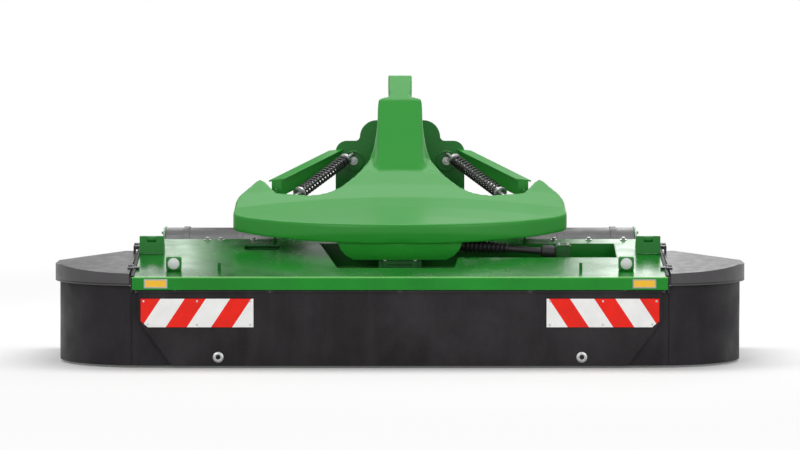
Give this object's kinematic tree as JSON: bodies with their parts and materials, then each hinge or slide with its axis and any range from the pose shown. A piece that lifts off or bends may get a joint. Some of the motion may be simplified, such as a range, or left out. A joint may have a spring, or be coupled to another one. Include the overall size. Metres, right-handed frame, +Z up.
{
  "type": "front-mounted disc mower conditioner",
  "caption": "Front-mounted disc mower conditioner with a sloping deck, rubber curtains, folding side covers, a necked shroud, counter-turning discs and a tined conditioner rotor.",
  "frame": {"origin": "on the ground, at the centre of the bounding box seen from above", "axes": "+X to the right seen from the front of the machine, -Y the way it drives, +Y to the tractor, +Z up"},
  "size_m": [3.52, 2, 1.433],
  "materials": {
    "green_paint": "gloss paint on steel",
    "green_plastic": "satin moulded cover",
    "green_cast": "paint on a casting",
    "black_paint": "satin black paint",
    "black_plastic": "ribbed plastic guard",
    "grey_plastic": "grained plastic",
    "curtain_rubber": "rubberised cloth",
    "dark_steel": "dark paint, rubbed bright on edges",
    "worn_steel": "worn by crop",
    "zinc_steel": "zinc plated",
    "spring_steel": "black coated",
    "white_plate": "reflective sheeting with red stripes, no words",
    "lamp_white": "clear lens over white",
    "amber_plastic": "reflector"
  },
  "bodies": {
    "machine": {"deck": "green_paint", "recess_pan": "green_paint", "main_frame": "green_paint", "side_plate_left": "green_paint", "side_plate_right": "green_paint", "cutterbar": "dark_steel", "skid_shoes": "worn_steel", "conditioner_hood": "black_paint", "curtain_rod": "zinc_steel", "corner_flap_left": "curtain_rubber", "corner_flap_right": "curtain_rubber", "cover_hinges": "zinc_steel", "edge_seals": "curtain_rubber", "marker_lamps": "lamp_white", "reflectors": "amber_plastic", "corner_brackets": "green_paint", "centre_gearbox": "green_cast", "side_shaft": "black_plastic", "side_gearbox": "green_cast", "headstock": "green_paint", "shaft_guard": "black_plastic", "lower_arms": "green_paint", "float_arms": "green_paint", "upper_link": "green_paint", "float_springs": "spring_steel", "front_shroud": "green_plastic", "shroud_chin": "green_plastic"},
    "conditioner_rotor": {"conditioner_rotor": "black_paint", "conditioner_tines": "worn_steel"},
    "input_shaft": {"input_shaft": "zinc_steel"},
    "front_flap": {"front_curtain": "curtain_rubber", "curtain_grommets": "zinc_steel", "stripe_plate_left": "white_plate", "stripe_plate_right": "white_plate"},
    "side_cover_left": {"side_cover_left": "grey_plastic", "side_curtain_left": "curtain_rubber"},
    "side_cover_right": {"side_cover_right": "grey_plastic", "side_curtain_right": "curtain_rubber"},
    "swath_board_left": {"swath_board_left": "green_paint"},
    "swath_board_right": {"swath_board_right": "green_paint"},
    "parking_leg_left": {"parking_leg_left": "green_paint"},
    "parking_leg_right": {"parking_leg_right": "green_paint"},
    "disc_1": {"disc_1": "worn_steel"},
    "disc_2": {"disc_2": "worn_steel"},
    "disc_3": {"disc_3": "worn_steel"},
    "disc_4": {"disc_4": "worn_steel"},
    "disc_5": {"disc_5": "worn_steel"},
    "disc_6": {"disc_6": "worn_steel"},
    "disc_7": {"disc_7": "worn_steel"}
  },
  "joints": [
    {"name": "rotor_spin", "type": "hinge", "parent": "machine", "child": "conditioner_rotor", "pos_m": [0, 0.165, 0.36], "axis": [1, 0, 0], "continuous": true},
    {"name": "input_spin", "type": "hinge", "parent": "machine", "child": "input_shaft", "pos_m": [0, 0.2, 0.7], "axis": [0, 1, 0], "continuous": true},
    {"name": "disc_1_spin", "type": "hinge", "parent": "machine", "child": "disc_1", "pos_m": [-1.26, -0.393, 0.12], "axis": [0, 0, 1], "continuous": true},
    {"name": "disc_2_spin", "type": "hinge", "parent": "machine", "child": "disc_2", "pos_m": [-0.84, -0.393, 0.12], "axis": [0, 0, 1], "continuous": true},
    {"name": "disc_3_spin", "type": "hinge", "parent": "machine", "child": "disc_3", "pos_m": [-0.42, -0.393, 0.12], "axis": [0, 0, 1], "continuous": true},
    {"name": "disc_4_spin", "type": "hinge", "parent": "machine", "child": "disc_4", "pos_m": [0, -0.393, 0.12], "axis": [0, 0, 1], "continuous": true},
    {"name": "disc_5_spin", "type": "hinge", "parent": "machine", "child": "disc_5", "pos_m": [0.42, -0.393, 0.12], "axis": [0, 0, 1], "continuous": true},
    {"name": "disc_6_spin", "type": "hinge", "parent": "machine", "child": "disc_6", "pos_m": [0.84, -0.393, 0.12], "axis": [0, 0, 1], "continuous": true},
    {"name": "disc_7_spin", "type": "hinge", "parent": "machine", "child": "disc_7", "pos_m": [1.26, -0.393, 0.12], "axis": [0, 0, 1], "continuous": true},
    {"name": "flap_lift", "type": "hinge", "parent": "machine", "child": "front_flap", "pos_m": [0, -0.991, 0.382], "axis": [-1, 0, 0], "range_deg": [0, 90]},
    {"name": "cover_fold_left", "type": "hinge", "parent": "machine", "child": "side_cover_left", "pos_m": [-1.347, -0.6, 0.5273], "axis": [0, 0.9871, 0.1599], "range_deg": [0, 90]},
    {"name": "cover_fold_right", "type": "hinge", "parent": "machine", "child": "side_cover_right", "pos_m": [1.347, -0.6, 0.5273], "axis": [0, -0.9871, -0.1599], "range_deg": [0, 90]},
    {"name": "swath_swing_left", "type": "hinge", "parent": "machine", "child": "swath_board_left", "pos_m": [-1.215, 0.47, 0.3], "axis": [0, 0, -1], "range_deg": [0, 35]},
    {"name": "swath_swing_right", "type": "hinge", "parent": "machine", "child": "swath_board_right", "pos_m": [1.215, 0.47, 0.3], "axis": [0, 0, 1], "range_deg": [0, 35]},
    {"name": "leg_fold_left", "type": "hinge", "parent": "machine", "child": "parking_leg_left", "pos_m": [-0.36, 0.64, 0.36], "axis": [1, 0, 0], "range_deg": [0, 90]},
    {"name": "leg_fold_right", "type": "hinge", "parent": "machine", "child": "parking_leg_right", "pos_m": [0.36, 0.64, 0.36], "axis": [1, 0, 0], "range_deg": [0, 90]}
  ],
  "couplings": [
    {"joint": "input_spin", "follows": "rotor_spin", "ratio": 1},
    {"joint": "disc_1_spin", "follows": "rotor_spin", "ratio": 3},
    {"joint": "disc_2_spin", "follows": "rotor_spin", "ratio": -3},
    {"joint": "disc_3_spin", "follows": "rotor_spin", "ratio": 3},
    {"joint": "disc_4_spin", "follows": "rotor_spin", "ratio": -3},
    {"joint": "disc_5_spin", "follows": "rotor_spin", "ratio": 3},
    {"joint": "disc_6_spin", "follows": "rotor_spin", "ratio": -3},
    {"joint": "disc_7_spin", "follows": "rotor_spin", "ratio": 3}
  ]
}
